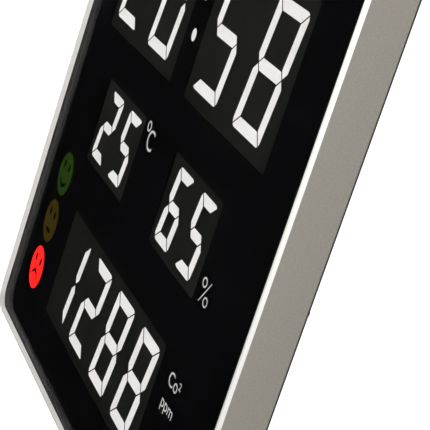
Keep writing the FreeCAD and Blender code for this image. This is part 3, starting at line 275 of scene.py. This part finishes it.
def red_acrylic():
    """The frowning face's light guide, lit."""
    return tinted_disc("red_acrylic", linear("#D81D18"), Emission_Color=linear("#FF1B16"),
                       Emission_Strength=looks().red_glow)


def white_nylon():
    """Natural white nylon: waxy, slightly see-through."""
    return grained("white_nylon", linear("#DCD8CE"), 0.45, 0.8, 0.01, spread=0.04,
                   Subsurface_Weight=0.08, Subsurface_Radius=(1.2 * MM, 1.0 * MM, 0.8 * MM))


def solder_mask():
    """Glass-fibre board under green solder mask: glossy, with raised copper tracks."""
    material, tree, shader = new_surface("solder_mask", Roughness=0.32, Coat_Weight=0.4, Coat_Roughness=0.12)
    where = add(tree, "ShaderNodeTexCoord").outputs["Object"]
    flat = add(tree, "ShaderNodeMapping", {"Vector": where, "Rotation": (math.radians(90), 0, 0)})
    # Tracks are 1.2 mm apart and run level, broken every 14 mm.
    tracks = add(tree, "ShaderNodeTexBrick", {"Vector": flat.outputs["Vector"], "Scale": 1 / (14 * MM),
                                              "Mortar Size": 0.016, "Brick Width": 1.0, "Row Height": 0.086,
                                              "Color1": linear("#0F5B34"), "Color2": linear("#0D5230"),
                                              "Mortar": linear("#2A7A4B")})
    relief = add(tree, "ShaderNodeBump", {"Height": tracks.outputs["Fac"], "Distance": 0.03 * MM})
    tree.links.new(tracks.outputs["Color"], shader.inputs["Base Color"])
    tree.links.new(relief.outputs["Normal"], shader.inputs["Normal"])
    return material


def zinc_plate():
    """Steel, bright zinc plated: a slightly blue, softly mirrored metal."""
    return grained("zinc_plate", linear("#C3C5C6"), 0.3, 1.1, 0.004, spread=0.08, Metallic=1.0)


def drawn_can():
    """Drawn aluminium can: fine lengthwise lines."""
    return grained("drawn_can", linear("#C9C9C8"), 0.34, 0.5, 0.006, spread=0.06, Metallic=1.0)


def gold_chamber():
    """Brass light chamber, gold coloured: warm and reflective."""
    return grained("gold_chamber", linear("#C9A14A"), 0.28, 1.0, 0.004, spread=0.06, Metallic=1.0)


def powder_coat():
    """Sheet steel, powder coated black: dull, with a fine orange peel."""
    return grained("powder_coat", linear("#222223"), 0.45, 0.9, 0.07, spread=0.18)


def moulded_rubber():
    """Moulded rubber: matt and even."""
    return grained("moulded_rubber", linear("#1A1A1A"), 0.75, 0.4, 0.01)


FINISH_OF_SLOT = {
    "anodised_aluminium": anodised_aluminium,
    "front_glass": float_glass,
    "black_print": black_print,
    "black_foam": closed_foam,
    "white_light_guide": lit_resin,
    "grey_module_face": module_moulding,
    "black_plastic": black_abs,
    "green_face_light": green_acrylic,
    "yellow_face_light": yellow_acrylic,
    "red_face_light": red_acrylic,
    "white_plastic": white_nylon,
    "circuit_board": solder_mask,
    "plated_steel": zinc_plate,
    "can_aluminium": drawn_can,
    "brass_can": gold_chamber,
    "painted_steel": powder_coat,
    "bumper_rubber": moulded_rubber,
}

MADE = {}


def finish(maker):
    """The material that a function makes, made once."""
    if maker not in MADE:
        MADE[maker] = maker()
    return MADE[maker]


# ---------------------------------------------------------------- making pieces

def place(name, mesh, slot, maker, body=HOUSING, stands_for=()):
    """Link a finished mesh as a piece that rides on a body, with its finish; the slot argument is not used.
    """
    mesh.name = name
    mesh.materials.clear()
    mesh.materials.append(finish(maker))
    mesh.shade_smooth()
    mesh.set_sharp_from_angle(angle=SHARP)
    piece = bpy.data.objects.new(name, mesh)
    bpy.context.scene.collection.objects.link(piece)
    # Large flat faces keep their own normals beside narrow rounded edges.
    piece.modifiers.new("weighted normals", "WEIGHTED_NORMAL").keep_sharp = True
    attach(piece, body)
    if stands_for:
        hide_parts(*stands_for)
    return piece


def mesh_of(shape):
    """A mesh from a bmesh, which is freed."""
    bmesh.ops.recalc_face_normals(shape, faces=shape.faces)
    mesh = bpy.data.meshes.new("shape")
    shape.to_mesh(mesh)
    shape.free()
    return mesh


def merged_copy(node):
    """A node's shape with its loose triangles joined and its flat faces made whole."""
    shape = bmesh.new()
    shape.from_mesh(frame["nodes"][node].data)
    bmesh.ops.remove_doubles(shape, verts=shape.verts, dist=1e-6)
    bmesh.ops.dissolve_limit(shape, angle_limit=FLAT, verts=shape.verts, edges=shape.edges)
    return shape


def round_edges(shape, radius, keep=lambda edge: True):
    """Round a shape's sharp edges."""
    sharp = [edge for edge in shape.edges
             if edge.is_manifold and edge.calc_face_angle(0.0) > SHARP and keep(edge)]
    bmesh.ops.bevel(shape, geom=sharp, offset=radius, offset_type="OFFSET", affect="EDGES", segments=3,
                    profile=0.5, material=-1, clamp_overlap=True)


def move(shape, matrix, verts=None):
    """Move a shape, or some of its corners."""
    bmesh.ops.transform(shape, matrix=matrix, verts=verts or shape.verts)


def loose_parts(shape):
    """The separate solids of a shape, each as a list of its faces."""
    left = set(shape.faces)
    parts = []
    while left:
        reached = {left.pop()}
        front = list(reached)
        while front:
            face = front.pop()
            for edge in face.edges:
                for other in edge.link_faces:
                    if other in left:
                        left.discard(other)
                        reached.add(other)
                        front.append(other)
        parts.append(list(reached))
    return parts


def centre_of(faces):
    """The middle of the box round some faces."""
    corners = [vert.co for face in faces for vert in face.verts]
    low = Vector(map(min, *corners))
    high = Vector(map(max, *corners))
    return (low + high) / 2


class MONITOR_OT_finishes(Operator):
    """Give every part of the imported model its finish"""
    bl_idname = "monitor.finishes"
    bl_label = "Finishes"

    def execute(self, context):
        # The imported plain materials go first, so that the finishes can take their names.
        for plain in list(bpy.data.materials):
            bpy.data.materials.remove(plain)
        for node, piece in frame["nodes"].items():
            for slot in piece.material_slots:
                slot.material = finish(FINISH_OF_SLOT[SLOT_OF[node]])
        return {"FINISHED"}


class MONITOR_OT_frame(Operator):
    """Aluminium frame, whose lip's faces are marked for a lighter tone that is partly painted light from the
    front
    """
    bl_idname = "monitor.frame"
    bl_label = "Frame"

    def execute(self, context):
        shape = merged_copy("frame")
        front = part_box("frame")[0].y + NEAR
        # Faces that reach the frame's front, the lip, its chamfer and inner walls, are marked for the lighter
        # tone: partly painted light from the front.
        painted_lip_mask = shape.faces.layers.float.new(PAINTED_LIP_TONE)
        for face in shape.faces:
            face[painted_lip_mask] = float(min(vert.co.y for vert in face.verts) < front)
        place("frame_extrusion", mesh_of(shape), "anodised_aluminium", anodised_aluminium,
              stands_for=["frame"])
        return {"FINISHED"}


class MONITOR_OT_glass(Operator):
    """Front glass with polished edges, just clear of the printed film"""
    bl_idname = "monitor.glass"
    bl_label = "Front glass"

    def execute(self, context):
        shape = merged_copy("front_glass")
        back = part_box("front_glass")[1].y
        for vert in shape.verts:
            if vert.co.y > back - NEAR:
                vert.co.y = back - looks().print_gap
        round_edges(shape, looks().glass_edge)
        place("front_glass_pane", mesh_of(shape), "front_glass", float_glass, stands_for=["front_glass"])
        self.make_seal()
        return {"FINISHED"}

    def make_seal(self):
        """A black bead in the play round the glass, which hides the frame behind the glass's edge."""
        shape = merged_copy("front_glass")
        flat = [face for face in shape.faces if abs(face.normal.y) > 0.5]
        bmesh.ops.delete(shape, geom=flat, context="FACES")
        shape.normal_update()
        for vert in shape.verts:
            vert.co += vert.normal * looks().seal_gap
        bmesh.ops.solidify(shape, geom=shape.faces[:], thickness=-looks().seal_thick)
        place("glass_seal", mesh_of(shape), "black_foam", closed_foam)


def segment_letters(parts):
    """The letter of each segment solid of one digit, from where the solids stand."""
    middles = [centre_of(part) for part in parts]
    order = sorted(range(len(parts)), key=lambda number: -middles[number].z)
    letters = {}
    rows = (order[:1], order[1:3], order[3:4], order[4:6], order[6:])
    for row, pair in zip(("a", "bf", "g", "ce", "d"), rows):
        across = sorted(pair, key=lambda number: -middles[number].x)
        letters.update(zip(across, row))
    return letters


class MONITOR_OT_digits(Operator):
    """Seven-segment digits: one piece for the lit segments, one for the dark ones"""
    bl_idname = "monitor.digits"
    bl_label = "Digits"

    def execute(self, context):
        pairs = ("tens", "ones")
        quads = ("thousands", "hundreds", "tens", "ones")
        for group in ("hours", "minutes", "temperature", "humidity", "gas"):
            for power, figure in zip(quads if group == "gas" else pairs, getattr(looks(), group)):
                self.make_digit(f"{group}_{power}", LIT[figure])
        return {"FINISHED"}

    def make_digit(self, name, lit):
        node = name + "_digit"
        unlit = set("abcdefg") - set(lit)
        for state, maker, wanted in (("lit", lit_resin, lit), ("dark", unlit_resin, unlit)):
            shape = merged_copy(node)
            parts = loose_parts(shape)
            letters = segment_letters(parts)
            away = [face for number, part in enumerate(parts)
                    if letters[number] not in wanted for face in part]
            bmesh.ops.delete(shape, geom=away, context="FACES")
            if not shape.faces:
                shape.free()
                continue
            round_edges(shape, looks().segment_edge)
            place(f"{name}_{state}_segments", mesh_of(shape), "white_light_guide", maker,
                  stands_for=[node] if state == "lit" else ())


# ---------------------------------------------------------------- printed marks

def print_plane():
    """Where the printed marks lie: in the clear space in front of the film."""
    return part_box("mask_film")[0].y - looks().print_gap / 2


def flat_piece(name, shape, slot, maker):
    """A printed mark from a flat shape, given its thickness."""
    thick = looks().print_thick
    raised = bmesh.ops.extrude_face_region(shape, geom=shape.faces[:])
    tops = [item for item in raised["geom"] if isinstance(item, bmesh.types.BMVert)]
    bmesh.ops.translate(shape, verts=tops, vec=(0, -thick, 0))
    return place(name, mesh_of(shape), slot, maker)


def flat_ring(centre, radius, stroke):
    """A flat ring that faces the reader."""
    shape = bmesh.new()
    ends = [shape.verts.new(centre + Vector((reach, 0, 0))) for reach in (radius - stroke, radius)]
    edge = shape.edges.new(ends)
    bmesh.ops.spin(shape, geom=ends + [edge], cent=centre, axis=(0, 1, 0), angle=math.radians(360),
                   steps=40, use_merge=True)
    return shape


def flat_sign(centre, radius, corners, turn):
    """A flat regular shape, turned from pointing up by an angle in degrees."""
    shape = bmesh.new()
    bmesh.ops.create_circle(shape, cap_ends=True, segments=corners, radius=radius)
    move(shape, Matrix.Translation(centre) @ Matrix.Rotation(math.radians(turn), 4, "Y") @ UPRIGHT)
    return shape


def written(name, text, low, size, weight=0.0):
    """A printed word that fills a box, given its lowest corner and size in X and Z."""
    curve = bpy.data.curves.new(name, "FONT")
    curve.body = text
    curve.offset = weight
    curve.extrude = 0.05
    curve.resolution_u = 6
    writing = bpy.data.objects.new(name, curve)
    bpy.context.scene.collection.objects.link(writing)
    bpy.context.view_layer.update()
    mesh = bpy.data.meshes.new_from_object(writing.evaluated_get(bpy.context.evaluated_depsgraph_get()))
    bpy.data.objects.remove(writing)
    corners = [vert.co for vert in mesh.vertices]
    least = Vector(map(min, *corners))
    extent = Vector(map(max, *corners)) - least
    fit = Matrix.Diagonal((size[0] / extent.x, size[1] / extent.y, looks().print_thick / extent.z, 1))
    mesh.transform(Matrix.Translation((low[0], print_plane(), low[1])) @ UPRIGHT @ fit
                   @ Matrix.Translation(-least))
    shape = bmesh.new()
    shape.from_mesh(mesh)
    bmesh.ops.remove_doubles(shape, verts=shape.verts, dist=1e-7)
    return place(name, mesh_of(shape), "black_print", white_print)


class MONITOR_OT_unit_marks(Operator):
    """Printed units beside the windows"""
    bl_idname = "monitor.unit_marks"
    bl_label = "Unit marks"

    def execute(self, context):
        # Each mark: text, its module, the corner it is measured from (top 1, bottom 0), its offset from
        # that corner to the mark's lowest corner, and its size, in millimetres.
        marks = {
            "celsius_mark": ("C", "temperature_module", 1, (9.9, -16.55), (11.0, 12.5), -0.006),
            "percent_mark": ("%", "humidity_module", 0, (4.5, 4.65), (14.4, 13.6), -0.016),
            "gas_mark": ("Co²", "gas_module", 1, (14.8, -15.8), (18.8, 8.0), 0.0),
            "parts_mark": ("ppm", "gas_module", 1, (14.8, -30.8), (18.8, 6.7), -0.004),
        }
        for name, (text, module, top, offset, size, weight) in marks.items():
            low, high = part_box(module)
            corner = (high.x + offset[0] * MM, (high.z if top else low.z) + offset[1] * MM)
            written(name, text, corner, (size[0] * MM, size[1] * MM), weight)
        low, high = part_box("temperature_module")
        degree = Vector((high.x + 7.2 * MM, print_plane(), high.z - 4.05 * MM))
        flat_piece("degree_mark", flat_ring(degree, 3.3 * MM, 1.1 * MM), "black_print", white_print)
        return {"FINISHED"}


class MONITOR_OT_cover_marks(Operator):
    """Generic signs printed on the rear cover above the keys, and the battery door's two turning marks"""
    bl_idname = "monitor.cover_marks"
    bl_label = "Cover marks"

    def execute(self, context):
        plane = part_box("rear_cover")[1].y + looks().print_thick
        sign_radius = 1.8 * MM
        sign_rise = 4 * MM
        # Each key's sign: its number of corners and its turn in degrees; a round one has many corners.
        signs = {"set_key": (32, 0), "up_key": (3, 0), "down_key": (3, 180), "alarm_key": (4, 0)}
        for node, (corners, turn) in signs.items():
            low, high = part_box(node)
            centre = Vector(((low.x + high.x) / 2, plane, high.z + sign_rise))
            shape = flat_sign(centre, sign_radius, corners, turn)
            flat_piece(node + "_sign", shape, "painted_steel", white_print)
        self.make_door_marks(plane)
        return {"FINISHED"}

    def make_door_marks(self, plane):
        """A dot level with the door's slot when it is shut, and a ring that the slot points at when open."""
        dot_radius = 1 * MM
        ring_radius = 1.1 * MM
        ring_stroke = 0.4 * MM
        clear = 3 * MM
        low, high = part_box("battery_door")
        door = Vector(((low.x + high.x) / 2, plane, (low.z + high.z) / 2))
        reach = (high.x - low.x) / 2 + clear
        shut = flat_sign(door + Vector((-reach, 0, 0)), dot_radius, 32, 0)
        flat_piece("door_shut_mark", shut, "painted_steel", white_print)
        slant = reach * math.sqrt(0.5)
        unlocked = flat_ring(door + Vector((-slant, 0, slant)), ring_radius, ring_stroke)
        flat_piece("door_open_mark", unlocked, "painted_steel", white_print)


class MONITOR_OT_face_prints(Operator):
    """Eyes and mouths printed over the three face lights"""
    bl_idname = "monitor.face_prints"
    bl_label = "Face prints"

    def execute(self, context):
        # Each face: the mouth's width, its rise from ends to middle, its middle's height, and the eyes' tilt
        # in degrees; lengths are shares of the face's radius.
        faces = {"green": (1.04, -0.27, -0.55, 0), "yellow": (0.72, 0.0, -0.45, 0),
                 "red": (1.04, 0.34, -0.17, 20)}
        for colour, (wide, rise, up, tilt) in faces.items():
            low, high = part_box(colour + "_face_light")
            radius = (high.x - low.x) / 2
            centre = Vector(((low.x + high.x) / 2, print_plane(), (low.z + high.z) / 2))
            shape = bmesh.new()
            for side in (-1, 1):
                self.draw_eye(shape, centre + Vector((side * 0.38 * radius, 0, 0.38 * radius)),
                              radius * 0.15, math.radians(side * tilt))
            self.draw_mouth(shape, centre + Vector((0, 0, up * radius)), wide * radius, rise * radius,
                            0.18 * radius)
            flat_piece(colour + "_face_print", shape, "black_print", black_print)
        return {"FINISHED"}

    def draw_eye(self, shape, centre, radius, tilt):
        """An upright oval."""
        ring = bmesh.ops.create_circle(shape, cap_ends=True, segments=24, radius=radius)
        size = Matrix.Diagonal((0.9, 1.3, 1, 1))
        lean = Matrix.Rotation(tilt, 4, "Y")
        move(shape, Matrix.Translation(centre) @ lean @ UPRIGHT @ size, ring["verts"])

    def draw_mouth(self, shape, centre, wide, rise, thick):
        """A bar bent to a smile or a frown, thinner at its ends."""
        grid = bmesh.ops.create_grid(shape, x_segments=16, y_segments=1, size=0.5)["verts"]
        for vert in grid:
            share = 2 * vert.co.x
            bend = -rise * share * share
            taper = 1 - 0.55 * abs(share) ** 3
            vert.co = centre + Vector((vert.co.x * wide, 0, bend + vert.co.y * thick * taper))


# ---------------------------------------------------------------- small parts that a hand touches

class MONITOR_OT_touched_parts(Operator):
    """Keys, power knob, battery door and screws with rounded edges"""
    bl_idname = "monitor.touched_parts"
    bl_label = "Keys, knob, door and screws"

    def execute(self, context):
        for node in ("set_key", "up_key", "down_key", "alarm_key", "power_switch_knob", "battery_door"):
            shape = merged_copy(node)
            round_edges(shape, looks().edge)
            place(node + "_moulding", mesh_of(shape), "black_plastic", black_abs, body=node,
                  stands_for=[node])
        shape = merged_copy("cover_screws")
        round_edges(shape, looks().edge)
        place("cover_screw_set", mesh_of(shape), "plated_steel", zinc_plate, stands_for=["cover_screws"])
        shape = merged_copy("wall_bumpers")
        # Only the rims that meet the wall are rounded.
        round_edges(shape, 4 * looks().edge, keep=lambda edge: edge.verts[0].co.y > 1 * MM)
        place("bumper_set", mesh_of(shape), "bumper_rubber", moulded_rubber, stands_for=["wall_bumpers"])
        return {"FINISHED"}


# ---------------------------------------------------------------- stage

def soft_light(name, place_at, aim, size, power):
    """A square soft light that the camera itself can't see."""
    lamp = bpy.data.lights.new(name, "AREA")
    lamp.size = size
    lamp.energy = power
    light = bpy.data.objects.new(name, lamp)
    light.location = place_at
    light.rotation_euler = (Vector(aim) - Vector(place_at)).to_track_quat("-Z", "Y").to_euler()
    light.visible_camera = False
    bpy.context.scene.collection.objects.link(light)
    return light


class MONITOR_OT_stage(Operator):
    """Camera, pale floor and soft studio light"""
    bl_idname = "monitor.stage"
    bl_label = "Stage"

    def execute(self, context):
        self.make_camera(context)
        self.make_floor(context)
        self.make_sky(context)
        # Each light: where it stands, its size in metres and its power in watts.
        lights = {"front_light": ((-0.5, -1.7, 0.95), 1.1, 45), "left_light": ((-1.5, -0.5, 1.1), 0.8, 7),
                  "low_light": ((0.85, -1.9, -0.1), 0.9, 9), "right_light": ((2.0, -0.5, -0.5), 0.9, 25),
                  "back_light": ((0.4, 1.8, 1.2), 1.4, 60)}
        aim = (0, 0, -0.1)
        for name, (stand, size, power) in lights.items():
            soft_light(name, stand, aim, size, power)
        context.scene.view_settings.view_transform = "Standard"
        return {"FINISHED"}

    def make_camera(self, context):
        stage = context.scene.monitor_stage
        data = bpy.data.cameras.new("camera")
        data.lens = stage.lens
        data.clip_end = 60
        camera = bpy.data.objects.new("camera", data)
        right = Vector((0.30751, 0.90020, 0.30833))
        up = Vector((-0.35424, -0.19244, 0.91514))
        back = Vector((0.88315, -0.39064, 0.25971))
        camera.matrix_world = Matrix.Translation(stage.eye) @ Matrix((right, up, back)).transposed().to_4x4()
        context.scene.collection.objects.link(camera)
        context.scene.camera = camera

    def make_floor(self, context):
        drop = context.scene.monitor_stage.floor_drop
        shape = bmesh.new()
        bmesh.ops.create_circle(shape, cap_ends=True, segments=96, radius=30)
        move(shape, Matrix.Translation((0, 0, -drop)))
        mesh = mesh_of(shape)
        material, tree, shader = new_surface("pale_floor", Roughness=0.8, Emission_Strength=0.5,
                                             Emission_Color=linear("#FFFFFF"))
        where = add(tree, "ShaderNodeTexCoord").outputs["Object"]
        cloud = add(tree, "ShaderNodeTexNoise", {"Vector": where, "Scale": 3.0}).outputs["Fac"]
        tone = add(tree, "ShaderNodeMix", {0: cloud, 6: linear("#F2F2F1"), 7: linear("#F8F8F7")},
                   data_type="RGBA")
        tree.links.new(tone.outputs[2], shader.inputs["Base Color"])
        mesh.materials.append(material)
        floor = bpy.data.objects.new("floor", mesh)
        # The floor is neither mirrored in the glass nor seen through it.
        floor.visible_glossy = False
        floor.visible_transmission = False
        context.scene.collection.objects.link(floor)

    def make_sky(self, context):
        """Soft light from above and behind; what lies low in front stays dark, so the glass looks black."""
        world = bpy.data.worlds.new("studio")
        context.scene.world = world
        world.use_nodes = True
        tree = world.node_tree
        tree.nodes.clear()
        sight = add(tree, "ShaderNodeTexCoord").outputs["Generated"]
        way = add(tree, "ShaderNodeSeparateXYZ", {"Vector": sight})
        above = add(tree, "ShaderNodeMapRange", {"Value": way.outputs["Z"], "From Min": 0.02, "From Max": 0.5,
                                                 "To Min": 0.0, "To Max": context.scene.monitor_stage.sky},
                    interpolation_type="SMOOTHSTEP")
        behind = add(tree, "ShaderNodeMapRange", {"Value": way.outputs["Y"], "From Min": -0.1,
                                                  "From Max": 0.6, "To Min": 0.0, "To Max": 0.15},
                     interpolation_type="SMOOTHSTEP")
        soft = add(tree, "ShaderNodeMath", {0: above.outputs["Result"], 1: behind.outputs["Result"]},
                   operation="MAXIMUM")
        seen = add(tree, "ShaderNodeLightPath").outputs["Is Camera Ray"]
        strength = add(tree, "ShaderNodeMath", {0: soft.outputs["Value"], 1: seen}, operation="MAXIMUM")
        backdrop = add(tree, "ShaderNodeBackground", {"Color": (1, 1, 1, 1),
                                                      "Strength": strength.outputs["Value"]})
        add(tree, "ShaderNodeOutputWorld", {"Surface": backdrop.outputs["Background"]})


# ---------------------------------------------------------------- panel and registration

STEPS = (MONITOR_OT_finishes, MONITOR_OT_frame, MONITOR_OT_glass, MONITOR_OT_digits, MONITOR_OT_unit_marks,
         MONITOR_OT_cover_marks, MONITOR_OT_face_prints, MONITOR_OT_touched_parts, MONITOR_OT_stage)


class MONITOR_PT_sidebar(Panel):
    """Lists the steps and the settings"""
    bl_idname = "MONITOR_PT_sidebar"
    bl_label = "Air Quality Monitor"
    bl_space_type = "VIEW_3D"
    bl_region_type = "UI"
    bl_category = "Monitor"

    def draw(self, context):
        for group in (context.scene.monitor_looks, context.scene.monitor_stage):
            for name in group.__annotations__:
                self.layout.prop(group, name)
        for step in STEPS:
            self.layout.operator(step.bl_idname)


# The settings come first, because the steps read them.
CLASSES = (MonitorLooks, MonitorStage, *STEPS, MONITOR_PT_sidebar)


def register():
    for part in CLASSES:
        bpy.utils.register_class(part)
    bpy.types.Scene.monitor_looks = PointerProperty(type=MonitorLooks)
    bpy.types.Scene.monitor_stage = PointerProperty(type=MonitorStage)


def unregister():
    del bpy.types.Scene.monitor_looks
    del bpy.types.Scene.monitor_stage
    for part in reversed(CLASSES):
        bpy.utils.unregister_class(part)


def main():
    register()
    for step in STEPS:
        group, name = step.bl_idname.split(".")
        getattr(getattr(bpy.ops, group), name)()


if __name__ == "__main__":
    main()
